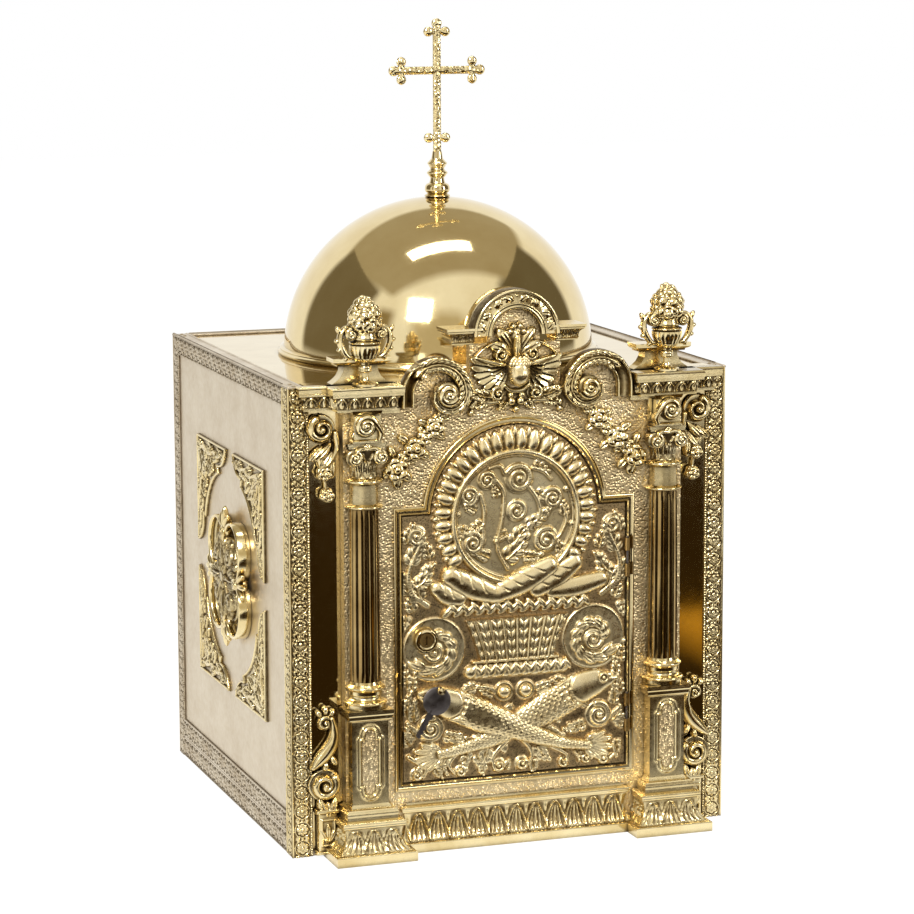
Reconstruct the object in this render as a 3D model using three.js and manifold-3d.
// Altar tabernacle: a brass casket with a domed roof and a classical facade round an arched, hinged door.
// Millimetres. The origin is on the floor under the middle of the dome, +Z is up, and the facade looks along -Y.
// Depths on the facade are given as "out": the distance in front of the casket's front face.
import * as THREE from "three";
import { mergeVertices } from "three/addons/utils/BufferGeometryUtils.js";
import Module from "manifold-3d";

const wasm = await Module();
wasm.setup();

// Doorway and door
const DOOR_HALF = 88; // half the doorway's width
const SILL_Z = 50; // bottom of the doorway
const SHOULDER_RISE = 200; // sill to the shoulders beside the arch
const ARCH_RADIUS = 66;
const ARCH_DROP = 3; // the arch's centre below the shoulders
const DOOR_GAP = 1.2; // leaf to doorway, all round
const LEAF_FACE_OUT = 6.6;
const LEAF_SKIN = 2.6; // thickness of the embossed sheet
const LEAF_RIM = 4; // turned-back edge of the leaf
const LINING_THICK = 1.6; // plate that closes the leaf behind

// Moulding round the doorway
const FRAME_WIDTH = 5.6;
const FRAME_STEP = 1.1; // height of its flat inner step over the facade
const FRAME_BEAD = 4.4; // height of its outer bead over the facade
const BEAD_INSET = 3; // inner step's width

// Facade
const FACADE_FACE_OUT = 7;
const FACADE_SKIN = 2.8;
const FACADE_RIM = 4;
const PIER_GAP = 8.8; // door moulding to the edge of a pedestal's die
const PEDESTAL_HALF = 13.8; // half width of the pedestal's die
const COLUMN_MARGIN = 14.8; // column axis to the facade's outer edge
const MIRROR_STRIP = 23; // plain polished strip beside the facade
const HEAD_BAND = 28.4; // door moulding's crown to the top of the casket

// Casket
const BOX_DEPTH = 332;
const SHEET = 3; // walls of the casket
const TRIM = 2; // embossed edging strips
const TRIM_WIDTH = 16; // edging on the corners and under the top
const TRIM_FOOT = 31; // edging along the bottom
const TRIM_LIP = 13; // part of the edging that lies on the top
const BASE_THICK = 4;
const STOP_LAP = 4; // the front wall's edge behind the leaf
const FLOOR_BELOW_SILL = 3; // inner floor under the sill
const FLOOR_THICK = 3;

// Plinth, pedestals and columns
const PLINTH_HEIGHT = 36;
const PLINTH_OUT = 17;
const LEAF_PITCH = 15.3;
const PEDESTAL_OUT = 19.5;
const PEDESTAL_TOP = 111;
const COLUMN_OUT = 8; // column axis
const SHAFT_RADIUS = 11.3;
const COLUMN_BASE = 18.5; // height of the column's turned base
const CAPITAL = 50; // height from the shaft's top ring to the abacus
const FLUTES = 10;

// Entablature, attic, urns and scrolled arms
const IMPOST = 22.7; // height of the scrolled block over the capital
const CORNICE = 18;
const CORNICE_HALF = 21.5;
const CORNICE_OUT = 18;
const ATTIC = 19;
const ATTIC_HALF = 21.8;
const ATTIC_OUT = 8.5;
const URN_HEIGHT = 66;
const URN_OUT = 14;
const ARM_RADIUS = 27; // outer radius of the arched arms
const ARM_BAND = 11; // width of their moulded band
const ARM_X = 62;
const ARM_DROP = 9; // the arms' centres below the top of the casket

// Pediment over the door
const CROWN_RADIUS = 33;
const CROWN_BAND = 13.5;
const CROWN_RISE = 31; // the crown's centre over the top of the casket
const CROWN_DEPTH = 26;
const CROWN_OUT = 14;
const LEDGE_END = 53.6;

// Dome, finial and cross
const DOME_RADIUS = 119.5;
const DOME_SHEET = 1.6;
const DOME_SIDES = 24;
const ROOF_RECESS = 2; // polished roof below the edging
const RING_HEIGHT = 6;
const RING_WIDTH = 4;
const FINIAL_HEIGHT = 35;
const STUD_RADIUS = 3;
const STUD = 14; // length of the finial's stud under the dome's top
const NUT_RADIUS = 8;
const NUT_SEAT = 9; // radius of the flat that the nut is drawn up against
const CROSS_HEIGHT = 101;
const CROSS_SPAN = 78;
const CROSS_BAR = 6.3;
const CROSS_THICK = 5;
const CROSS_ARM_Z = 61.3; // cross bar over the cross's foot
const BUD_RADIUS = 4;
const TANG = 8; // the cross's foot in the finial
const SOCKET_HALF = 2.5;

// Hinges, lock and key
const HINGE_HEIGHT = 29;
const HINGE_PARTS = 3; // knuckles, of which the door has the middle one
const HINGE_LEAF = 0.7;
const KNUCKLE_RADIUS = 1.9;
const PIN_RADIUS = 0.8;
const PIN_PLAY = 0.25;
const HINGE_AXIS_IN = 0.6; // hinge axis inside the doorway's edge
const HINGE_OUT = 10.3;
const HINGE_LOW_Z = 76;
const HINGE_HIGH_Z = 194;
const LOCK_IN = 18; // lock, from the edge of the doorway
const LOCK_Z = 157;
const LOCK_RADIUS = 8.5;
const LOCK_OUT = 12;
const PLUG_RADIUS = 5.4;
const CAM_LENGTH = 22;
const CAM_WIDTH = 10;
const CAM_THICK = 2;
const PEG_IN = 26;
const PEG_Z = 121;
const PEG_RADIUS = 1.8;
const KEY_OUT = 18.5;
const KEY_THICK = 2;
const BOW_RADIUS = 10.5;
const KEY_LENGTH = 34; // peg to the tip of the blade
const KEY_TILT = 26; // degrees off plumb
const BLADE_WIDTH = 4.6;

// Door relief
const HOST_Z = 245;
const HOST_RADIUS = 50.5;
const HOST_RIM = 4;
const RAYS = 20;

// Side ornament
const ORNAMENT_SIDE = 190;
const ORNAMENT_Z = 181;
const ORNAMENT_BACK = -3; // centre of the ornament behind the middle of the side
const SPANDREL_ARM = 85;
const SPANDREL_THICK = 3.8;
const MEDALLION_LOBE = 20.5;
const MEDALLION_THICK = 10;
const MEDALLION_FORWARD = 9; // the medallion lies this much nearer the front than the ornament's centre
const MEDALLION_WALL = 3;

const FIT = 0.3; // clearance between neighbouring pieces

// Sizes worked out from the ones above
const ARCH_Z = SILL_Z + SHOULDER_RISE - ARCH_DROP;
const PEDESTAL_X = DOOR_HALF + FRAME_WIDTH + PIER_GAP + PEDESTAL_HALF;
const FACADE_HALF = PEDESTAL_X + COLUMN_MARGIN;
const BOX_HALF = FACADE_HALF + MIRROR_STRIP + TRIM_WIDTH;
const BOX_HEIGHT = ARCH_Z + ARCH_RADIUS + FRAME_WIDTH + HEAD_BAND;
const FRONT = -BOX_DEPTH / 2;
const WALL_HALF = BOX_HALF - TRIM;
const ROOF_Z = BOX_HEIGHT - ROOF_RECESS;
const CORNICE_Z = BOX_HEIGHT - CORNICE;
const CAPITAL_TOP = CORNICE_Z - IMPOST;
const ARM_Z = BOX_HEIGHT - ARM_DROP;
const CROWN_Z = BOX_HEIGHT + CROWN_RISE;
const GROUND = FACADE_FACE_OUT + FIT; // back of everything that is applied to the facade
const HINGE_X = DOOR_HALF - HINGE_AXIS_IN;
const LOCK_X = LOCK_IN - DOOR_HALF;
const PEG_X = PEG_IN - DOOR_HALF;
const PEDESTAL_EDGE = PEDESTAL_X - PEDESTAL_HALF - 16.5;
const DOME_TOP = ROOF_Z + DOME_RADIUS;

// Solids
function solid(geometry) {
  const bare = geometry.index ? geometry.toNonIndexed() : geometry.clone();
  bare.deleteAttribute("normal");
  bare.deleteAttribute("uv");
  const merged = mergeVertices(bare, 1e-4);
  return new wasm.Manifold(
    new wasm.Mesh({
      numProp: 3,
      vertProperties: new Float32Array(merged.attributes.position.array),
      triVerts: new Uint32Array(merged.index.array),
    }),
  );
}

function join(...solids) {
  return solids.flat().reduce((whole, next) => whole.add(next));
}

function cut(whole, ...tools) {
  return tools.flat().reduce((rest, tool) => rest.subtract(tool), whole);
}

function box(x0, x1, y0, y1, z0, z1) {
  const geometry = new THREE.BoxGeometry(x1 - x0, y1 - y0, z1 - z0);
  return solid(geometry.translate((x0 + x1) / 2, (y0 + y1) / 2, (z0 + z1) / 2));
}

// A box on the front: x and z as they are, depths as distances in front of the casket.
function block(x0, x1, out0, out1, z0, z1) {
  return box(x0, x1, FRONT - out1, FRONT - out0, z0, z1);
}

function outline(points) {
  return new THREE.Shape(points.map(([x, y]) => new THREE.Vector2(x, y)));
}

// An outline in x and z, extruded between two depths on the front.
function relief(shape, out0, out1, steps = 8) {
  const geometry = new THREE.ExtrudeGeometry(shape, {
    depth: out1 - out0,
    bevelEnabled: false,
    curveSegments: steps,
  });
  return solid(geometry.rotateX(Math.PI / 2).translate(0, FRONT - out0, 0));
}

// A moulding whose section is drawn as (out, z), run along x.
function moulding(profile, x0, x1) {
  const geometry = new THREE.ExtrudeGeometry(outline(profile), {
    depth: x1 - x0,
    bevelEnabled: false,
  });
  const toX = new THREE.Matrix4().makeBasis(
    new THREE.Vector3(0, -1, 0),
    new THREE.Vector3(0, 0, 1),
    new THREE.Vector3(-1, 0, 0),
  );
  return solid(geometry.applyMatrix4(toX).translate(x1, FRONT, 0));
}

// A piece turned about an upright axis, from (radius, z) points that start and end on the axis.
function turned(profile, x, y, segments) {
  const points = profile.map(([r, z]) => new THREE.Vector2(r, z));
  const geometry = new THREE.LatheGeometry(points, segments);
  return solid(geometry.rotateX(Math.PI / 2).translate(x, y, 0));
}

// A piece turned about an axis along y, from (radius, out) points.
function turnedOut(profile, x, z, segments) {
  const points = profile.map(([r, out]) => new THREE.Vector2(r, out));
  const geometry = new THREE.LatheGeometry(points, segments).rotateX(Math.PI);
  return solid(geometry.translate(x, FRONT, z));
}

function ball(x, out, z, rx, ry, rz, detail = 1) {
  const geometry = new THREE.IcosahedronGeometry(1, detail).scale(rx, ry, rz);
  return solid(geometry.translate(x, FRONT - out, z));
}

// A block with the same mouldings on its front and both sides. steps are (projection, z) from bottom to top.
function pier(x, half, back, front, steps) {
  const low = steps[0][1];
  const high = steps[steps.length - 1][1];
  const ahead = [[back, low], ...steps.map(([p, z]) => [front + p, z]), [back, high]];
  const right = steps.map(([p, z]) => [x + half + p, z]);
  const left = steps.map(([p, z]) => [x - half - p, z]).reverse();
  const reach = Math.max(...steps.map(([p]) => p)) + 1;
  const along = moulding(ahead, x - half - reach, x + half + reach);
  return along.intersect(relief(outline([...right, ...left]), back - 1, front + reach));
}

// Part of a ring in x and z between two radii, from angle a to angle b in degrees.
function band(x, z, inner, outer, a, b, steps) {
  const at = (r, i) => {
    const angle = THREE.MathUtils.degToRad(a + ((b - a) * i) / steps);
    return [x + r * Math.cos(angle), z + r * Math.sin(angle)];
  };
  const far = Array.from({ length: steps + 1 }, (_, i) => at(outer, i));
  const near = Array.from({ length: steps + 1 }, (_, i) => at(inner, steps - i));
  return outline([...far, ...near]);
}

// A spiral ribbon that closes in on (x, z). turns may be negative to wind the other way.
function spiral(x, z, radius, width, turns, start) {
  const steps = Math.round(Math.abs(turns) * 6);
  const at = (inset, i) => {
    const share = i / steps;
    const r = (radius - inset) * (1 - 0.72 * share);
    const angle = THREE.MathUtils.degToRad(start) + share * turns * 2 * Math.PI;
    return [x + r * Math.cos(angle), z + r * Math.sin(angle)];
  };
  const far = Array.from({ length: steps + 1 }, (_, i) => at(0, i));
  const near = Array.from({ length: steps + 1 }, (_, i) => at(width, steps - i));
  return outline([...far, ...near]);
}

// A volute: a disc and the ribbon that winds on it.
function volute(x, z, radius, out0, out1, turns, start) {
  const face = out0 + (out1 - out0) * 0.6;
  const disc = turnedOut([[0, out0], [radius * 0.92, out0], [radius * 0.92, face], [0, face]], x, z, 7);
  return disc.add(relief(spiral(x, z, radius, radius * 0.26, turns, start), out0, out1));
}

// A leaf with scalloped edges from (x, z) along a heading in degrees.
function leaf(x, z, length, width, heading, lobes = 2) {
  const turn = THREE.MathUtils.degToRad(heading);
  const place = (along, across) => [
    x + along * Math.cos(turn) - across * Math.sin(turn),
    z + along * Math.sin(turn) + across * Math.cos(turn),
  ];
  const edge = [];
  for (let i = 0; i < lobes; i++) {
    const swell = Math.sin((Math.PI * (i + 0.6)) / (lobes + 0.6));
    if (i > 0) edge.push([(length * i) / lobes, width * swell * 0.7]);
    edge.push([(length * (i + 0.55)) / lobes, width * swell]);
  }
  const left = edge.map(([u, w]) => place(u, w / 2)).reverse();
  const right = edge.map(([u, w]) => place(u, -w / 2));
  return outline([place(0, -width * 0.18), ...right, place(length, 0), ...left, place(0, width * 0.18)]);
}

// The doorway's outline, moved outwards by offset.
function doorway(offset) {
  const half = DOOR_HALF + offset;
  const shoulder = SILL_Z + SHOULDER_RISE + offset;
  const radius = ARCH_RADIUS + offset;
  const spring = Math.asin((shoulder - ARCH_Z) / radius);
  const shape = new THREE.Shape();
  shape.moveTo(-half, SILL_Z - offset);
  shape.lineTo(half, SILL_Z - offset);
  shape.lineTo(half, shoulder);
  shape.lineTo(radius * Math.cos(spring), shoulder);
  shape.absarc(0, ARCH_Z, radius, spring, Math.PI - spring, false);
  shape.lineTo(-half, shoulder);
  shape.closePath();
  return shape;
}

const ARCH_STEPS = 8;
function doorwaySolid(offset, out0, out1) {
  return relief(doorway(offset), out0, out1, ARCH_STEPS);
}

// Materials
function metal(color, roughness) {
  return new THREE.MeshStandardMaterial({ color, roughness, metalness: 1 });
}
const finishes = {
  polished: () => metal(0xe6cd92, 0.12),
  cast: () => metal(0xd2b268, 0.3),
  stippled: () => metal(0xc9a774, 0.5),
  satin: () => metal(0xd8c7a2, 0.35),
  edging: () => metal(0xa8977a, 0.45),
  lining: () => metal(0xc0a878, 0.4),
  steel: () => metal(0x4a4644, 0.4),
};

const tabernacle = new THREE.Group();
function add(name, body, finish) {
  const mesh = body.getMesh();
  const geometry = new THREE.BufferGeometry();
  geometry.setAttribute("position", new THREE.BufferAttribute(mesh.vertProperties, 3));
  geometry.setIndex(new THREE.BufferAttribute(mesh.triVerts, 1));
  const piece = new THREE.Mesh(geometry, finishes[finish]());
  piece.name = name;
  tabernacle.add(piece);
  return piece;
}

// The right-hand piece as it is made, and its mirror image on the left.
function addPair(name, body, finish) {
  add(`${name}_right`, body, finish);
  add(`${name}_left`, body, finish).scale.x = -1;
}

// Casket
function casket() {
  const inner = WALL_HALF - SHEET;
  const wallY = BOX_DEPTH / 2 - TRIM;
  const under = ROOF_Z - SHEET;
  add("base_plate", box(-WALL_HALF, WALL_HALF, -wallY, wallY, 0, BASE_THICK), "satin");
  add("roof_plate", box(-WALL_HALF, WALL_HALF, -wallY, wallY, under, ROOF_Z), "polished");
  addPair("side_panel", box(inner, WALL_HALF, SHEET - wallY, wallY - SHEET, BASE_THICK, under), "satin");
  add("back_panel", box(-WALL_HALF, WALL_HALF, wallY - SHEET, wallY, BASE_THICK, under), "satin");
  const front = box(-WALL_HALF, WALL_HALF, -wallY, SHEET - wallY, BASE_THICK, under);
  add("front_wall", cut(front, doorwaySolid(-STOP_LAP, -TRIM - SHEET - 1, 1)), "polished");

  // The inner floor is a bench: a plate on two legs that stand on the base.
  const floorZ = SILL_Z - FLOOR_BELOW_SILL;
  const half = inner - FIT;
  const floorY = wallY - SHEET - FIT;
  const bench = cut(
    box(-half, half, -floorY, floorY, BASE_THICK, floorZ),
    box(FLOOR_THICK - half, half - FLOOR_THICK, -wallY, wallY, BASE_THICK - 1, floorZ - FLOOR_THICK),
  );
  add("inner_floor", bench, "lining");
}

// Embossed edging strips nailed over the casket's edges
function edging() {
  const y = BOX_DEPTH / 2;
  const x = BOX_HALF;
  const corner = join(
    box(x - TRIM_WIDTH, x, -y, TRIM - y, 0, ROOF_Z),
    box(WALL_HALF, x, -y, TRIM_WIDTH + 1 - y, 0, ROOF_Z),
  );
  addPair("corner_strip", corner, "cast");
  const from = TRIM_WIDTH + 1 - y;
  const side = join(
    box(WALL_HALF, x, from, y, BOX_HEIGHT - TRIM_WIDTH, BOX_HEIGHT),
    box(WALL_HALF, x, from, y, 0, TRIM_FOOT),
    box(WALL_HALF, x, y - TRIM_WIDTH, y, 0, BOX_HEIGHT),
    box(x - TRIM_LIP, x, -y, y, ROOF_Z, BOX_HEIGHT),
  );
  addPair("side_strip", side, "edging");
  const back = join(
    cut(
      box(-WALL_HALF, WALL_HALF, y - TRIM, y, 0, ROOF_Z),
      box(TRIM_WIDTH - x, x - TRIM_WIDTH, y - TRIM - 1, y + 1, TRIM_FOOT, BOX_HEIGHT - TRIM_WIDTH),
    ),
    box(TRIM_LIP - x, x - TRIM_LIP, y - TRIM_LIP, y, ROOF_Z - TRIM / 2, BOX_HEIGHT),
  );
  add("back_strip", cut(back, box(-x, x, 0, y - TRIM, 0, ROOF_Z)), "edging");
  add("front_top_strip", box(TRIM_LIP - x, x - TRIM_LIP, -y, TRIM_LIP - y, ROOF_Z, BOX_HEIGHT), "cast");
}

// Side ornament: four corner pieces round a quatrefoil medallion, lying on each side panel
function spandrelShape() {
  const arm = SPANDREL_ARM;
  const shape = new THREE.Shape();
  shape.moveTo(0, 0);
  shape.lineTo(arm, 0);
  shape.quadraticCurveTo(arm * 0.95, arm * 0.2, arm * 0.72, arm * 0.21);
  shape.lineTo(arm * 0.74, arm * 0.27);
  shape.quadraticCurveTo(arm * 0.38, arm * 0.38, arm * 0.27, arm * 0.74);
  shape.lineTo(arm * 0.21, arm * 0.72);
  shape.quadraticCurveTo(arm * 0.2, arm * 0.95, 0, arm);
  shape.closePath();
  return shape;
}

// Lays a solid drawn on z = 0, thick upwards, on the right-hand side panel.
function onSide(geometry) {
  const toSide = new THREE.Matrix4().makeBasis(
    new THREE.Vector3(0, 1, 0),
    new THREE.Vector3(0, 0, 1),
    new THREE.Vector3(1, 0, 0),
  );
  return solid(geometry.applyMatrix4(toSide).translate(WALL_HALF, ORNAMENT_BACK, ORNAMENT_Z));
}

function extruded(shape, depth, steps = 3) {
  return new THREE.ExtrudeGeometry(shape, { depth, bevelEnabled: false, curveSegments: steps });
}

function spandrel(flipY, flipZ) {
  const half = ORNAMENT_SIDE / 2;
  const sheet = extruded(spandrelShape(), SPANDREL_THICK);
  const turns = { "-1,1": 0, "1,1": -90, "1,-1": 180, "-1,-1": 90 };
  const turn = THREE.MathUtils.degToRad(turns[`${flipY},${flipZ}`] - 90);
  return onSide(sheet.rotateZ(turn).translate(flipY * half, flipZ * half, 0));
}

// A quatrefoil whose round lobes have their centres on the diagonals
function quatrefoil(radius) {
  const c = MEDALLION_LOBE;
  const lap = Math.asin(c / radius);
  const shape = new THREE.Shape();
  for (const [u, v, turn] of [[1, 1, 0], [-1, 1, 1], [-1, -1, 2], [1, -1, 3]]) {
    const start = (turn * Math.PI) / 2;
    shape.absarc(u * c, v * c, radius, start - lap, start + Math.PI / 2 + lap, false);
  }
  shape.closePath();
  return shape;
}

function medallion() {
  const lobe = MEDALLION_LOBE;
  const high = MEDALLION_THICK;
  const dish = cut(
    onSide(extruded(quatrefoil(lobe + MEDALLION_WALL), high)),
    onSide(extruded(quatrefoil(lobe + 0.3), high).translate(0, 0, 2)),
  );
  const boss = onSide(new THREE.CylinderGeometry(5, 8, 9, 8).rotateX(Math.PI / 2).translate(0, 0, 4.5));
  const quarter = (i, more) => THREE.MathUtils.degToRad(i * 90 + more);
  const petals = [0, 1, 2, 3].map((i) =>
    onSide(extruded(leaf(4, 0, lobe * 1.75, lobe * 0.9, 0, 1), 6).rotateZ(quarter(i, 45))),
  );
  const clasps = [0, 1, 2, 3].map((i) =>
    onSide(new THREE.BoxGeometry(17, 13, high + 2).translate(lobe * 2.12, 0, high / 2 + 1).rotateZ(quarter(i, 0))),
  );
  return join(dish, boss, petals, clasps).translate([0, -MEDALLION_FORWARD, 0]);
}

function sideOrnament() {
  addPair("side_corner_upper_front", spandrel(-1, 1), "cast");
  addPair("side_corner_upper_back", spandrel(1, 1), "cast");
  addPair("side_corner_lower_front", spandrel(-1, -1), "cast");
  addPair("side_corner_lower_back", spandrel(1, -1), "cast");
  addPair("side_medallion", medallion(), "cast");
}

// Facade plate: an embossed sheet with turned-back edges, with the doorway cut through it
function facade() {
  const back = FIT - TRIM;
  const neck = CROWN_RADIUS - CROWN_BAND - FIT;
  const shoulders = CROWN_Z - 6 - FIT;
  const arms = [-1, 1].map((side) =>
    relief(band(side * ARM_X, ARM_Z, 0, ARM_RADIUS - 3, -20, 200, 10), back, FACADE_FACE_OUT),
  );
  const whole = join(
    block(-FACADE_HALF, FACADE_HALF, back, FACADE_FACE_OUT, BASE_THICK, CORNICE_Z + 10),
    block(-ARM_X + ARM_RADIUS, ARM_X - ARM_RADIUS, back, FACADE_FACE_OUT, CORNICE_Z, shoulders),
    block(-neck, neck, back, FACADE_FACE_OUT, CORNICE_Z, CROWN_Z),
    relief(band(0, CROWN_Z, 0, neck, 0, 180, 8), back, FACADE_FACE_OUT),
    ...arms,
  );
  const rim = FACADE_RIM;
  const skin = FACADE_FACE_OUT - FACADE_SKIN;
  const pocket = cut(
    block(rim - FACADE_HALF, FACADE_HALF - rim, back - 1, skin, BASE_THICK + rim, CORNICE_Z),
    doorwaySolid(rim, back - 2, skin + 1),
  );
  const overTop = block(-FACADE_HALF, FACADE_HALF, back - 1, FIT, ROOF_Z, CROWN_Z + CROWN_RADIUS);
  const opening = doorwaySolid(0, back - 1, FACADE_FACE_OUT + 1);
  add("facade_plate", cut(whole, pocket, overTop, opening), "stippled");

  const step = cut(
    doorwaySolid(FRAME_WIDTH, GROUND, FACADE_FACE_OUT + FRAME_STEP),
    doorwaySolid(0, 0, 20),
  );
  const bead = cut(
    doorwaySolid(FRAME_WIDTH, GROUND, FACADE_FACE_OUT + FRAME_BEAD),
    doorwaySolid(BEAD_INSET, 0, 20),
  );
  add("door_frame", join(step, bead), "polished");
}

// Pointed leaves of the leaf-and-dart frieze, standing on a slope that leans back
function dart(x, low, high, out) {
  const tall = high - low;
  const shape = outline([
    [x - 5.6, low], [x - 1.8, low + tall * 0.4], [x, high],
    [x + 1.8, low + tall * 0.4], [x + 5.6, low], [x, low + tall * 0.5],
  ]);
  return relief(shape, GROUND, out);
}

function plinth() {
  const half = PEDESTAL_EDGE - FIT;
  const top = PLINTH_HEIGHT;
  const profile = [
    [GROUND, 0], [PLINTH_OUT, 0], [PLINTH_OUT, 7], [PLINTH_OUT - 1.5, 8.5], [PLINTH_OUT - 4.5, top - 10],
    [PLINTH_OUT - 1, top - 7], [PLINTH_OUT - 1, top - 3.5], [PLINTH_OUT - 6, top], [GROUND, top],
  ];
  const count = Math.floor((2 * half) / LEAF_PITCH);
  const darts = Array.from({ length: count }, (_, i) =>
    dart((i - (count - 1) / 2) * LEAF_PITCH, 8.2, top - 8.5, PLINTH_OUT - 1.4),
  );
  add("plinth", join(moulding(profile, -half, half), darts), "cast");
}

// Clears the facade plate from the back of a piece that reaches past the facade's edge.
function facadeSeat(top = BOX_HEIGHT) {
  return block(0, FACADE_HALF + FIT, -20, GROUND, -1, top);
}

function pedestal() {
  const top = PEDESTAL_TOP;
  const foot = 16.5;
  const steps = [
    [foot, 0], [foot, 7], [foot - 2, 8], [foot - 6.5, 24], [foot - 5, 27.5], [foot - 9, 31],
    [4.6, 34], [4.6, 38], [0, 41], [0, top - 8.5], [1.4, top - 7], [3.4, top - 3.5], [3.4, top],
  ];
  const stone = pier(PEDESTAL_X, PEDESTAL_HALF, FIT, PEDESTAL_OUT, steps);
  const face = PEDESTAL_OUT;
  const panel = cut(
    relief(panelShape(PEDESTAL_X, 45, 99, 8.4), face - 1, face + 1.3, 3),
    relief(panelShape(PEDESTAL_X, 48, 96, 5.4), face, face + 2, 3),
  );
  const darts = [-1, 0, 1].map((i) =>
    dart(PEDESTAL_X + i * LEAF_PITCH * 1.1, 8.5, 24, PEDESTAL_OUT + foot - 2.2),
  );
  addPair("pedestal", cut(join(stone, panel, darts), facadeSeat()), "cast");
}

// An upright panel with a round lug at each end
function panelShape(x, low, high, half) {
  const lug = half * 0.72;
  const shape = new THREE.Shape();
  shape.moveTo(x - half, low + half);
  shape.lineTo(x - lug, low + half);
  shape.absarc(x, low + lug, lug, Math.PI, 0, false);
  shape.lineTo(x + half, low + half);
  shape.lineTo(x + half, high - half);
  shape.lineTo(x + lug, high - half);
  shape.absarc(x, high - lug, lug, 0, Math.PI, false);
  shape.lineTo(x - half, high - half);
  shape.closePath();
  return shape;
}

function column() {
  const low = PEDESTAL_TOP + FIT;
  const shaftLow = low + COLUMN_BASE;
  const top = CAPITAL_TOP - FIT;
  const shaftTop = top - CAPITAL;
  const r = SHAFT_RADIUS;
  const y = FRONT - COLUMN_OUT;
  const base = turned(
    [
      [0, low], [r + 3.7, low], [r + 3.7, low + 5], [r + 0.8, low + 8], [r + 0.8, low + 12],
      [r + 2.4, low + 14.5], [r + 1, low + COLUMN_BASE], [0, low + COLUMN_BASE],
    ],
    PEDESTAL_X, y, 10,
  );
  const flute = [];
  for (let i = 0; i < FLUTES; i++) {
    for (const [share, depth] of [[0, 1.2], [0.5, 0]]) {
      const angle = ((i + share) * 2 * Math.PI) / FLUTES;
      flute.push([(r - depth) * Math.cos(angle), (r - depth) * Math.sin(angle)]);
    }
  }
  const shaft = solid(
    extruded(outline(flute), shaftTop - shaftLow + 1).translate(PEDESTAL_X, y, shaftLow - 0.5),
  );
  const capital = turned(
    [
      [0, shaftTop], [r + 1, shaftTop], [r + 1.8, shaftTop + 2], [r - 0.6, shaftTop + 6],
      [r, top - 31], [r + 1.3, top - 29], [r - 0.8, top - 26], [r + 3, top - 10], [r - 0.5, top - 3],
      [0, top - 3],
    ],
    PEDESTAL_X, y, 10,
  );
  const curls = [-1, 1].map((side) =>
    volute(PEDESTAL_X + side * 9, top - 8.5, 5.4, COLUMN_OUT, COLUMN_OUT + 10, side * -1.2, 90 - side * 30),
  );
  const fronds = [-1, 1].map((side) =>
    relief(leaf(PEDESTAL_X + side * 5, top - 27, 16, 9, 90 - side * 6), COLUMN_OUT, COLUMN_OUT + r + 1.6),
  );
  const abacus = block(PEDESTAL_X - 15, PEDESTAL_X + 15, GROUND, COLUMN_OUT + 10.5, top - 3.2, top);
  const behind = block(PEDESTAL_X - 30, PEDESTAL_X + 30, -20, GROUND, 0, BOX_HEIGHT);
  addPair("column", cut(join(base, shaft, capital, curls, fronds, abacus), behind), "cast");
}

// Cornice with its row of tongues, on the scrolled impost block over the capital
function entablature() {
  const low = CORNICE_Z;
  const top = BOX_HEIGHT;
  const rise = [
    [0.8, low], [0.8, low + 3], [3.4, low + 10.5], [5.4, low + 11.5], [5.4, top],
  ];
  const inner = ARM_X + ARM_RADIUS + FIT;
  const ressaut = pier(PEDESTAL_X, CORNICE_HALF, FIT, CORNICE_OUT, rise);
  const returnEnd = BOX_HALF - TRIM_WIDTH + 2;
  const middle = (inner + returnEnd) / 2;
  const returned = pier(middle, (returnEnd - inner) / 2 + 5.4, FIT, ATTIC_OUT - 5, rise);
  const clip = block(inner, BOX_HALF, -1, 40, low - 1, top + 1);
  const tongues = [];
  for (let i = -2; i <= 2; i++) {
    const x = PEDESTAL_X + i * 8.6;
    tongues.push(
      relief(band(x, low + 4.2, 0, 3.6, 0, 180, 4), CORNICE_OUT - 1, CORNICE_OUT + 3.8),
    );
  }
  const foot = CAPITAL_TOP;
  const impost = pier(PEDESTAL_X, 9.6, GROUND, COLUMN_OUT + 10, [
    [1.2, foot], [0, foot + 3], [0, low - 2], [1.6, low - 1], [1.6, low + 1],
  ]);
  const scroll = volute(PEDESTAL_X + 1, low - 10.2, 9.4, COLUMN_OUT + 9, COLUMN_OUT + 13, -1.5, 150);
  const whole = join(ressaut, returned, tongues, impost, scroll).intersect(
    join(clip, block(inner, BOX_HALF, -1, 40, foot, low)),
  );
  addPair("entablature", cut(whole, facadeSeat()), "cast");
}

// Attic block with hollowed sides, standing on the cornice behind the urn
function attic() {
  const low = BOX_HEIGHT + FIT;
  const high = low + ATTIC;
  const half = ATTIC_HALF;
  const shape = new THREE.Shape();
  shape.moveTo(PEDESTAL_X - half, low);
  shape.lineTo(PEDESTAL_X + half, low);
  shape.quadraticCurveTo(PEDESTAL_X + half * 0.62, low + 4, PEDESTAL_X + half * 0.6, high - 6);
  shape.lineTo(PEDESTAL_X - half * 0.6, high - 6);
  shape.quadraticCurveTo(PEDESTAL_X - half * 0.62, low + 4, PEDESTAL_X - half, low);
  const body = relief(shape, -ATTIC_OUT, ATTIC_OUT - 5, 5);
  const slab = pier(PEDESTAL_X, half - 3, -ATTIC_OUT, ATTIC_OUT - 3, [
    [-1, high - 6.5], [0, high - 4.5], [3, high - 3], [3, high],
  ]);
  addPair("attic_block", join(body, slab), "cast");
}

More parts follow.
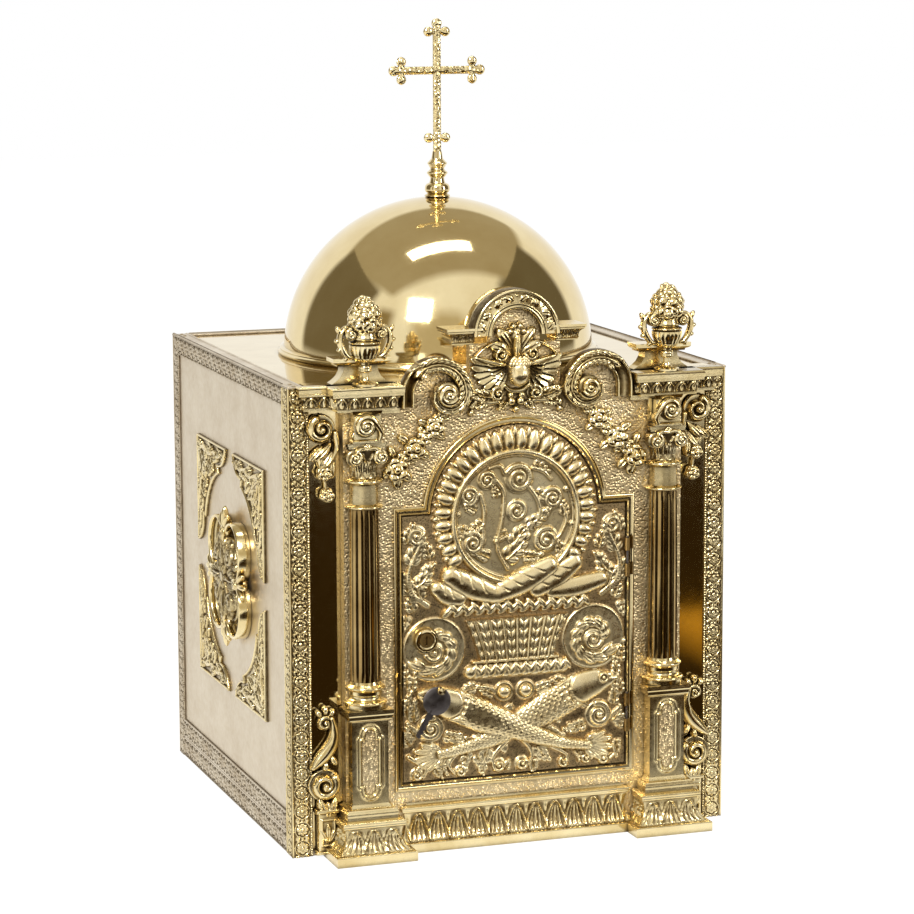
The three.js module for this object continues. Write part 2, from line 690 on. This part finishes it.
// Urn of fruit with a gadrooned bowl and scrolled handles
function urn() {
  const z = BOX_HEIGHT + FIT;
  const y = FRONT - URN_OUT;
  const scale = URN_HEIGHT / 66;
  const at = (height) => z + height * scale;
  const vase = turned(
    [
      [0, at(0)], [9.2, at(0)], [9.2, at(2)], [3, at(6)], [2.5, at(9)], [4.6, at(14)],
      [3, at(16.5)], [9, at(24)], [11, at(31)], [11, at(33.5)], [0, at(36)],
    ],
    PEDESTAL_X, y, 8,
  );
  const fruit = [];
  for (let i = 0; i < 5; i++) {
    const angle = (i * 2 * Math.PI) / 5;
    fruit.push(
      ball(PEDESTAL_X + 7.5 * Math.cos(angle), URN_OUT + 6 * Math.sin(angle), at(43), 7, 6.6, 10, 0),
    );
  }
  fruit.push(ball(PEDESTAL_X, URN_OUT, at(55), 10.5, 9.5, 11, 0));
  const handles = [-1, 1].map((side) =>
    join(
      relief(spiral(PEDESTAL_X + side * 13, at(38), 6, 2.2, side, 90 + side * 90), URN_OUT - 2, URN_OUT + 2),
      relief(leaf(PEDESTAL_X + side * 9, at(20), 26, 7, side > 0 ? 58 : 122, 1), URN_OUT - 1.6, URN_OUT + 1.6),
    ),
  );
  addPair("urn", join(vase, fruit, handles), "cast");
}

// Arched arm that rises from the cornice and curls over into an acanthus scroll, with a festoon hung from it
function scrollArm() {
  const outer = ARM_RADIUS;
  const inner = ARM_RADIUS - ARM_BAND;
  const face = CORNICE_OUT;
  const mould = join(
    relief(band(ARM_X, ARM_Z, inner, outer - 0.5, 0, 160, 7), GROUND, face - 3),
    relief(band(ARM_X, ARM_Z, outer - 3, outer, 0, 160, 7), GROUND, face + 3),
  );
  const feet = block(ARM_X + inner, ARM_X + outer, GROUND, face + 0.8, CORNICE_Z, ARM_Z);
  const wraps = [80, 130].map((angle) => {
    const turn = THREE.MathUtils.degToRad(angle);
    const x = ARM_X + (inner + 3) * Math.cos(turn);
    const z = ARM_Z + (inner + 3) * Math.sin(turn);
    return relief(leaf(x, z, ARM_BAND + 4, 13, angle + 28, 1), GROUND, face + 1.8);
  });
  const tip = relief(
    band(ARM_X - 2, ARM_Z - 1, outer - 13, outer - 1, 155, 194, 5), GROUND, face - 3,
  );
  const curl = volute(ARM_X - 7.8, ARM_Z, inner - 6, GROUND, face + 1.5, 1.6, 200);
  const under = relief(spiral(ARM_X - 7.8, ARM_Z, outer - 7.6, 8, 0.5, 175), GROUND, face - 2);
  const garland = [
    [62, 317, 6.2, 11], [66, 309.5, 6.6, 11.5], [73, 304, 6.6, 12], [80.5, 299, 6.6, 12],
    [80, 290, 8, 13], [84, 281, 5.6, 11.5], [89.5, 302, 5.6, 10.5],
  ].map(([x, z, r, out]) => ball(x, GROUND, z, r, out - GROUND, r, 0));
  const tie = relief(
    outline([[50, 334], [57, 331], [66, 314], [62, 312]]), GROUND, GROUND + 4,
  );
  const backing = block(-1, 200, -5, GROUND, 200, BOX_HEIGHT + 40);
  const cleared = cut(join(mould, feet, wraps, tip, curl, under, garland, tie), backing);
  addPair("scroll_arm", cleared, "cast");
}

// Outer brackets beside the columns
function upperBracket() {
  const x = PEDESTAL_X + 29.6;
  const top = CORNICE_Z - FIT;
  const z = top - 12.5;
  const curl = volute(x, z, 11.4, FIT, 9.5, -1.5, 60);
  const tail = outline([
    [x - 10, z - 4], [x - 4, z - 14], [x - 9, z - 26], [x - 12.5, z - 34], [x - 9.5, z - 36],
    [x - 3, z - 27], [x + 3, z - 17], [x + 10, z - 4],
  ]);
  const leaves = [
    leaf(x - 5, z - 18, 16, 9, -58), leaf(x - 10, z - 30, 24, 9, -70),
  ].map((shape) => relief(shape, FIT, 4.5));
  addPair("upper_bracket", cut(join(curl, relief(tail, FIT, 6), leaves), facadeSeat()), "cast");
}

function lowerBracket() {
  const x = PEDESTAL_X + 32;
  const curl = volute(x - 1, 54, 9.4, FIT, 9, 1.5, 120);
  const stem = outline([
    [x + 3, 56], [x - 2, 68], [x + 4, 76], [x + 5, 86], [x + 2.5, 96], [x + 5.4, 98], [x + 9, 86],
    [x + 8.4, 74], [x + 3.4, 68], [x + 7, 56],
  ]);
  const bud = ball(x - 1, FIT, 100, 6.4, 7.5, 6.4, 0);
  const leaves = [leaf(x + 1, 66, 16, 9, 118), leaf(x - 2, 104, 14, 8, 140)]
    .map((shape) => relief(shape, FIT, 4.5));
  const foot = relief(
    outline([[x, 0], [x + 10, 0], [x + 9, 12], [x + 7, 26], [x + 6, 48], [x - 2, 48], [x + 0.5, 26]]),
    FIT, 9, 4,
  );
  const whole = join(curl, relief(stem, FIT, 5.5), bud, leaves, foot);
  addPair("lower_bracket", cut(whole, facadeSeat(), block(0, BOX_HALF, -20, FIT, 0, BOX_HEIGHT)), "cast");
}

// Crown of the pediment: a barrel arch with a ledge on each side
function crown() {
  const outer = CROWN_RADIUS;
  const inner = CROWN_RADIUS - CROWN_BAND;
  const back = CROWN_OUT - CROWN_DEPTH;
  const barrel = relief(band(0, CROWN_Z, inner, outer - 1, 0, 180, 8), back, CROWN_OUT - 3.5);
  const rims = join(
    relief(band(0, CROWN_Z, outer - 3.4, outer, 0, 180, 8), back, CROWN_OUT),
    relief(band(0, CROWN_Z, inner, inner + 3, 0, 180, 8), GROUND, CROWN_OUT - 0.6),
  );
  const petals = Array.from({ length: 5 }, (_, i) => {
    const angle = 26 + i * 32;
    const turn = THREE.MathUtils.degToRad(angle);
    const r = inner + 7;
    return ball(r * Math.cos(turn), CROWN_OUT - 3.5, CROWN_Z + r * Math.sin(turn), 3.6, 2, 3.6, 0);
  });
  const ledges = [-1, 1].map((side) => {
    const points = [
      [inner, CROWN_Z - 6], [outer + 3, CROWN_Z - 6], [outer + 8, CROWN_Z], [LEDGE_END - 5, CROWN_Z + 2],
      [LEDGE_END, CROWN_Z + 3], [LEDGE_END, CROWN_Z + 6], [inner + 4, CROWN_Z + 6],
    ].map(([x, z]) => [side * x, z]);
    return relief(outline(points), back, CROWN_OUT - 1.5);
  });
  const throat = relief(band(0, CROWN_Z, 0, inner, 0, 180, 8), back - 1, GROUND + 10);
  const neck = block(-inner, inner, back - 1, CROWN_OUT + 1, CROWN_Z - 20, CROWN_Z);
  const sheet = block(-200, 200, -2, FACADE_FACE_OUT + FIT, CROWN_Z - 7, CROWN_Z - 6);
  add("pediment_crown", cut(join(barrel, rims, petals, ledges), throat, neck, sheet), "cast");
}

// Winged cherub's head, with the palmette over it and the scrolls under it
function cherub() {
  const z = BOX_HEIGHT + 4;
  const head = ball(0, GROUND + 8, z, 8.6, 9, 10.2, 1);
  const hair = ball(0, GROUND + 7, z + 7.5, 8.6, 8, 5, 0);
  const halves = [-1, 1].map((side) => {
    const wing = outline(
      [
        [5, z + 5], [16, z + 11], [30, z + 11], [31, z + 4], [27, z - 4], [24, z - 10], [17, z - 14],
        [6, z - 8],
      ].map(([x, h]) => [side * x, h]),
    );
    const feather = relief(leaf(side * 7, z + 1, 23, 9, side > 0 ? 4 : 176, 1), GROUND, GROUND + 6);
    const spiralUp = volute(side * 11, z + 11, 6, GROUND, GROUND + 8, side * 1.2, side > 0 ? 200 : -20);
    const spiralDown = ball(side * 14.5, GROUND, z - 16, 6.4, 7, 6.4, 0);
    const frond = relief(leaf(side * 14, z - 17, 20, 9, side > 0 ? -14 : 194, 1), GROUND, GROUND + 4.5);
    const drop = ball(side * 33.5, GROUND + 1, z - 25.4, 4.6, 5, 4.6, 0);
    return join(relief(wing, GROUND, GROUND + 4), feather, spiralUp, spiralDown, frond, drop);
  });
  const fan = [62, 90, 118].map((angle) =>
    relief(leaf(0, z + 5, 31, 9, angle, 1), GROUND, GROUND + (angle === 90 ? 5.5 : 4.5)),
  );
  const bead = ball(0, GROUND + 3, CROWN_Z + 7, 4, 4, 4, 0);
  const trefoil = [[0, -25.4], [-5, -20], [5, -20]].map(([x, h]) => ball(x, GROUND, z + h, 4.6, 6, 4.6, 0));
  const collar = relief(outline([[-9, z - 22], [9, z - 22], [6, z - 4], [-6, z - 4]]), GROUND, GROUND + 4);
  const arch = doorwaySolid(FRAME_WIDTH + FIT, -5, 40);
  const backing = block(-60, 60, -5, GROUND, 200, CROWN_Z + 60);
  add("cherub", cut(join(head, hair, halves, fan, bead, trefoil, collar), arch, backing), "cast");
}

// Dome, standing on the roof plate in its ring, with the finial's stud and nut through its crown
function dome() {
  const r = DOME_RADIUS;
  const inside = r - DOME_SHEET;
  const hole = STUD_RADIUS + FIT;
  const arc = (radius, first, last, rings) =>
    Array.from({ length: rings + 1 }, (_, i) => {
      const angle = first + ((last - first) * i) / rings;
      return [radius * Math.cos(angle), ROOF_Z + radius * Math.sin(angle)];
    });
  const outside = arc(r, 0, Math.acos(hole / r), 7);
  const under = arc(inside, Math.acos(NUT_SEAT / inside), 0, 5);
  const closed = [...outside, [hole, under[0][1]], ...under, outside[0]];
  add("dome_shell", turned(closed, 0, 0, DOME_SIDES), "polished");

  const ringIn = r + FIT;
  const ringOut = ringIn + RING_WIDTH;
  const ringTop = ROOF_Z + RING_HEIGHT;
  const ring = [
    [ringIn, ROOF_Z], [ringOut, ROOF_Z], [ringOut - 1.2, ringTop], [ringIn, ringTop], [ringIn, ROOF_Z],
  ];
  add("dome_ring", turned(ring, 0, 0, DOME_SIDES), "polished");
}

function finial() {
  const z = DOME_TOP;
  const profile = [
    [0, z - STUD], [STUD_RADIUS, z - STUD], [STUD_RADIUS, z + FIT], [8.8, z + FIT],
  ];
  const stem = [
    [9.3, 0.03], [9.3, 0.07], [7.8, 0.1], [9.6, 0.18], [6.5, 0.24], [5.4, 0.44], [7.1, 0.52],
    [5.5, 0.6], [6.6, 0.73], [4.2, 0.84], [3.2, 1],
  ].map(([r, share]) => [r, z + share * FINIAL_HEIGHT]);
  const top = z + FINIAL_HEIGHT;
  const body = turned([...profile, ...stem, [0, top]], 0, 0, 10);
  const socket = SOCKET_HALF;
  const deep = CROSS_THICK / 2 - 0.6;
  const hole = box(-socket, socket, -deep, deep, top - TANG, top + 1);
  add("finial", cut(body, hole), "polished");

  const nutTop = ROOF_Z + Math.sqrt((DOME_RADIUS - DOME_SHEET) ** 2 - NUT_SEAT ** 2) - FIT;
  const bore = STUD_RADIUS + FIT;
  const nut = cut(
    turned([[0, nutTop - 5], [NUT_RADIUS, nutTop - 5], [NUT_RADIUS, nutTop], [0, nutTop]], 0, 0, 6),
    turned([[0, nutTop - 6], [bore, nutTop - 6], [bore, nutTop + 1], [0, nutTop + 1]], 0, 0, 14),
  );
  add("finial_nut", nut, "steel");
}

// Cross with three buds at each end, on a tang that drops into the finial
function cross() {
  const foot = DOME_TOP + FINIAL_HEIGHT + FIT;
  const half = CROSS_BAR / 2;
  const centre = foot + CROSS_ARM_Z;
  const top = foot + CROSS_HEIGHT;
  const reach = CROSS_SPAN / 2;
  const y = CROSS_THICK / 2;
  const r = BUD_RADIUS;
  const side = r + 2.6;
  const back = r + 6.5;
  const buds = [
    [0, top - r], [-side, top - back], [side, top - back], [-side, foot + back - 1], [side, foot + back - 1],
    [reach - r, centre], [reach - back, centre + side], [reach - back, centre - side],
    [r - reach, centre], [back - reach, centre + side], [back - reach, centre - side],
  ].map(([x, z]) => solid(new THREE.CylinderGeometry(r, r, CROSS_THICK, 6).translate(x, 0, z)));
  const socket = SOCKET_HALF;
  const bars = [
    box(-half, half, -y, y, foot, top - r),
    box(r - reach, reach - r, -y, y, centre - half, centre + half),
    box(-side, side, -y, y, foot + back - 3, foot + back + 1),
    box(-side, side, -y, y, top - back - 2, top - back + 2),
    box(reach - back - 2, reach - back + 2, -y, y, centre - side, centre + side),
    box(back - reach - 2, back - reach + 2, -y, y, centre - side, centre + side),
    box(FIT - socket, socket - FIT, 0.6 + FIT - y, y - 0.6 - FIT, foot - TANG + FIT, foot + 1),
  ];
  add("cross", join(bars, buds), "cast");
}

// Door leaf: an embossed sheet with turned-back edges, with a lining plate behind it
function door() {
  const gap = -DOOR_GAP;
  const rear = FIT - TRIM;
  const skin = LEAF_FACE_OUT - LEAF_SKIN;
  const sheet = cut(
    doorwaySolid(gap, rear, LEAF_FACE_OUT),
    doorwaySolid(gap - LEAF_RIM, rear - 1, skin),
  );
  const bore = LOCK_RADIUS + FIT;
  const lockHole = turnedOut([[0, -20], [bore, -20], [bore, 30], [0, 30]], LOCK_X, LOCK_Z, 16);
  const pegBore = PEG_RADIUS + FIT;
  const pegHole = turnedOut([[0, -20], [pegBore, -20], [pegBore, 30], [0, 30]], PEG_X, PEG_Z, 10);
  const knuckles = [HINGE_LOW_Z, HINGE_HIGH_Z].map((z) => hingeHalf(z, [1], -1));
  const raised = join(doorRelief()).intersect(doorwaySolid(gap, 0, 30));
  add("door_leaf", cut(join(sheet, raised, knuckles), lockHole, pegHole), "cast");
  const lining = doorwaySolid(gap - LEAF_RIM - FIT, rear, rear + LINING_THICK);
  add("door_lining", cut(lining, lockHole), "lining");
}

// A loaf or a fish's body: turned from (share of length, radius) points, and laid between two points of the leaf.
function spindle(x0, z0, x1, z1, section, depth, segments) {
  const length = Math.hypot(x1 - x0, z1 - z0);
  const points = section.map(([share, r]) => new THREE.Vector2(r, share * length));
  const geometry = new THREE.LatheGeometry(points, segments)
    .scale(1, 1, depth)
    .rotateX(Math.PI / 2)
    .rotateY(Math.PI / 2 - Math.atan2(z1 - z0, x1 - x0));
  const whole = solid(geometry.translate(x0, FRONT - LEAF_FACE_OUT, z0));
  return whole.intersect(block(-DOOR_HALF, DOOR_HALF, LEAF_FACE_OUT - 0.5, 30, SILL_Z, HOST_Z));
}

// What stands out of the leaf: ring, rays, loaves, basket, two fish, roundels and scrolls
function doorRelief() {
  const g = LEAF_FACE_OUT - 0.5;
  const face = LEAF_FACE_OUT;
  const hostIn = HOST_RADIUS - HOST_RIM;
  const ring = turnedOut(
    [[hostIn, g], [HOST_RADIUS, g], [HOST_RADIUS - 0.6, face + 2.6], [hostIn + 2, face + 3.8],
      [hostIn + 0.6, face + 2.6], [hostIn, g]],
    0, HOST_Z, 20,
  );
  const rays = Array.from({ length: RAYS }, (_, i) => {
    const turn = THREE.MathUtils.degToRad(-34 + (248 * i) / (RAYS - 1));
    const point = (r, aside) => [
      r * Math.cos(turn) - aside * Math.sin(turn),
      HOST_Z + r * Math.sin(turn) + aside * Math.cos(turn),
    ];
    const from = HOST_RADIUS + 1;
    const lobe = outline([point(from, 0), point(from + 8, -3.8), point(from + 12.6, 0), point(from + 8, 3.8)]);
    return relief(lobe, g, face + 2.4);
  });
  const host = [
    [0, HOST_Z + 24, 13, 1.2, 250], [-24, HOST_Z + 2, 13, -1.2, 330], [24, HOST_Z + 2, 13, 1.2, 210],
  ].map(([x, z, r, turns, start]) => relief(spiral(x, z, r, 3.4, turns, start), g, face + 2.6));
  const stems = [128, 90, 52].map((heading) => relief(leaf(0, HOST_Z - 40, 32, 12, heading, 1), g, face + 2));

  const crust = [[0, 0], [0.1, 4.6], [0.34, 7.4], [0.66, 7.4], [0.9, 4.6], [1, 0]];
  const loaves = [
    [-66, 200, -30, 181], [72, 186, 24, 184], [52, 206, 6, 184], [-60, 208, -12, 186], [-14, 184, 30, 208],
  ].map(([x0, z0, x1, z1]) => spindle(x0, z0, x1, z1, crust, 0.85, 5));

  const weave = outline([[-50, 171], [-38, 144], [-34, 131], [34, 131], [38, 144], [50, 171]]);
  const ribs = Array.from({ length: 5 }, (_, i) => {
    const x = (i - 2) * 20;
    const rib = outline([[x - 1.4, 171], [x * 0.72 - 1.2, 131], [x * 0.72 + 1.2, 131], [x + 1.4, 171]]);
    return relief(rib, g, face + 3);
  });
  const basket = [
    relief(weave, g, face + 1.8),
    relief(outline([[-60, 179], [-62, 174], [-58, 170], [57, 170], [60, 174], [57, 179]]), g, face + 4),
    relief(outline([[-42, 132], [-44, 127], [-41, 122.5], [41, 122.5], [44, 127], [42, 132]]), g, face + 4),
  ];

  const body = [[0, 0], [0.03, 3.4], [0.16, 10], [0.34, 10.6], [1, 2.4], [1, 0]];
  const fish = [
    spindle(76, 112, -56, 77, body, 0.5, 6), spindle(-72, 114, 58, 78, body, 0.72, 6),
    relief(leaf(-52, 78, 32, 12, 186), g, face + 2.6), relief(leaf(54, 79, 30, 12, -14), g, face + 3),
  ];
  const roundels = [-1, 1].map((side) => [
    relief(band(side * 64.5, 146, 18.6, 21.4, 0, 360, 9), g, face + 1.4),
    relief(spiral(side * 64.5, 146, 17, 4, side * 1.3, 90), g, face + 1.6),
  ]);
  const curls = [
    [-77, 57], [-40, 57], [0, 58], [40, 57], [77, 57], [-9, 114], [8, 114],
  ].map(([x, z]) => ball(x, face - 0.5, z, 4.2, 3.6, 4.2, 0));
  const sprays = [
    [-79, 186, 46, 14, 82], [79, 186, 46, 14, 98], [-14, 61, 26, 11, 160], [14, 61, 26, 11, 20],
    [-82, 88, 30, 13, 20], [82, 88, 30, 13, 160],
  ].map(([x, z, length, width, heading]) => relief(leaf(x, z, length, width, heading, 1), g, face + 1.7));
  return [ring, rays, host, stems, loaves, ribs, basket, fish, roundels, curls, sprays].flat(2);
}

// One half of a butt hinge: its knuckles, bored for the pin, on a leaf that lies on the door's edge (side -1)
// or on the doorway's (side 1). numbers says which of the hinge's knuckles it has, counted from below.
function hingeHalf(z, numbers, side) {
  const tall = HINGE_HEIGHT / HINGE_PARTS;
  const y = FRONT - HINGE_OUT;
  const bore = PIN_RADIUS + PIN_PLAY;
  const clear = KNUCKLE_RADIUS + FIT;
  const play = FIT / 2;
  const knuckles = numbers.map((number) => {
    const low = z + number * tall + (number > 0 ? play : 0);
    const high = z + (number + 1) * tall - (number < HINGE_PARTS - 1 ? play : 0);
    return turned([[0, low], [KNUCKLE_RADIUS, low], [KNUCKLE_RADIUS, high], [0, high]], HINGE_X, y, 12);
  });
  const edge = side < 0 ? DOOR_HALF - DOOR_GAP - 0.2 : DOOR_HALF - 0.1 - HINGE_LEAF;
  const width = side < 0 ? DOOR_HALF - HINGE_LEAF - 0.1 - FIT - edge : HINGE_LEAF;
  const rear = side < 0 ? LEAF_FACE_OUT - LEAF_SKIN : FIT - TRIM;
  const first = z + numbers[0] * tall + (numbers[0] > 0 ? play : 0);
  const last = z + (numbers[numbers.length - 1] + 1) * tall - (numbers.length > 1 ? 0 : play);
  const plate = block(edge, edge + width, rear, HINGE_OUT, first, last);
  const low = z + tall - play;
  const high = z + 2 * tall + play;
  const across = numbers.length > 1
    ? block(edge - 1, HINGE_X + KNUCKLE_RADIUS, HINGE_OUT - clear, HINGE_OUT + clear, low, high)
    : [];
  const over = z + HINGE_HEIGHT + 1;
  const hole = turned([[0, z - 1], [bore, z - 1], [bore, over], [0, over]], HINGE_X, y, 10);
  return cut(join(knuckles, plate), across, hole);
}

function hinges() {
  for (const [where, z] of [["upper", HINGE_HIGH_Z], ["lower", HINGE_LOW_Z]]) {
    add(`hinge_leaf_${where}`, hingeHalf(z, [0, 2], 1), "cast");
    const top = z + HINGE_HEIGHT;
    const seat = top + FIT;
    const pin = turned(
      [[0, z], [PIN_RADIUS, z], [PIN_RADIUS, seat], [PIN_RADIUS + 0.7, seat], [0, seat + 1.3]],
      HINGE_X, FRONT - HINGE_OUT, 10,
    );
    add(`hinge_pin_${where}`, pin, "steel");
  }
}

// Cam lock: a barrel fixed in the leaf, and the plug that turns in it with the cam on its end
function lock() {
  const rear = -TRIM - SHEET - FIT;
  const tail = rear + FIT;
  const bore = PLUG_RADIUS + PIN_PLAY;
  const neck = LOCK_RADIUS - 1.5;
  const seat = LEAF_FACE_OUT - LEAF_SKIN;
  const barrel = cut(
    turnedOut(
      [[0, tail], [neck, tail], [neck, seat], [LOCK_RADIUS, seat], [LOCK_RADIUS, LOCK_OUT - 1],
        [LOCK_RADIUS - 1, LOCK_OUT], [0, LOCK_OUT]],
      LOCK_X, LOCK_Z, 16,
    ),
    turnedOut([[0, tail - 1], [bore, tail - 1], [bore, LOCK_OUT + 1], [0, LOCK_OUT + 1]], LOCK_X, LOCK_Z, 14),
  );
  add("lock_barrel", barrel, "polished");
  const far = rear - CAM_THICK;
  const plug = turnedOut(
    [[0, far], [PLUG_RADIUS, far], [PLUG_RADIUS, LOCK_OUT - 0.4], [0, LOCK_OUT - 0.4]], LOCK_X, LOCK_Z, 14,
  );
  const keyhole = block(LOCK_X - 0.6, LOCK_X + 0.6, LOCK_OUT - 6, LOCK_OUT + 1, LOCK_Z - 3.4, LOCK_Z + 3.4);
  const half = CAM_WIDTH / 2;
  const cam = block(LOCK_X - half, LOCK_X + half, far, rear, LOCK_Z - half, LOCK_Z + CAM_LENGTH);
  add("lock_plug", join(cut(plug, keyhole), cam), "steel");
}

// The key hangs by its bow on a round-headed peg and swings there
function key() {
  const over = KEY_OUT + KEY_THICK + FIT;
  const rear = LEAF_FACE_OUT - LEAF_SKIN - 1;
  const peg = turnedOut(
    [[0, rear], [PEG_RADIUS, rear], [PEG_RADIUS, over], [3.4, over], [2.6, over + 1.8], [0, over + 2.5]],
    PEG_X, PEG_Z, 10,
  );
  add("key_peg", peg, "polished");
  const drop = BOW_RADIUS - PEG_RADIUS - 2.2;
  const hole = PEG_RADIUS + 0.4;
  const disc = (radius, z, depth, steps) =>
    new THREE.CylinderGeometry(radius, radius, depth, steps).translate(0, 0, z);
  const blade = new THREE.BoxGeometry(BLADE_WIDTH, KEY_THICK, KEY_LENGTH - drop)
    .translate(0, 0, -(KEY_LENGTH + drop) / 2);
  const groove = new THREE.BoxGeometry(0.9, 1, KEY_LENGTH)
    .translate(-0.6, -KEY_THICK / 2, -KEY_LENGTH / 2 - drop - BOW_RADIUS);
  const notches = [0, 1, 2, 3].map((i) =>
    new THREE.BoxGeometry(1.8, KEY_THICK * 2, 1.4).translate(BLADE_WIDTH / 2, 0, 3.4 + i * 3.2 - KEY_LENGTH),
  );
  const hang = (geometry) =>
    solid(
      geometry
        .rotateY(THREE.MathUtils.degToRad(KEY_TILT))
        .translate(PEG_X, FRONT - KEY_OUT - KEY_THICK / 2, PEG_Z),
    );
  const whole = join(hang(disc(BOW_RADIUS, -drop, KEY_THICK, 18)), hang(blade));
  const eye = disc(hole, 0, KEY_THICK * 3, 10);
  add("key", cut(whole, hang(eye), hang(groove), notches.map(hang)), "steel");
}

casket();
edging();
sideOrnament();
facade();
plinth();
pedestal();
column();
entablature();
attic();
urn();
scrollArm();
upperBracket();
lowerBracket();
crown();
cherub();
dome();
finial();
cross();
door();
hinges();
lock();
key();

export default tabernacle;
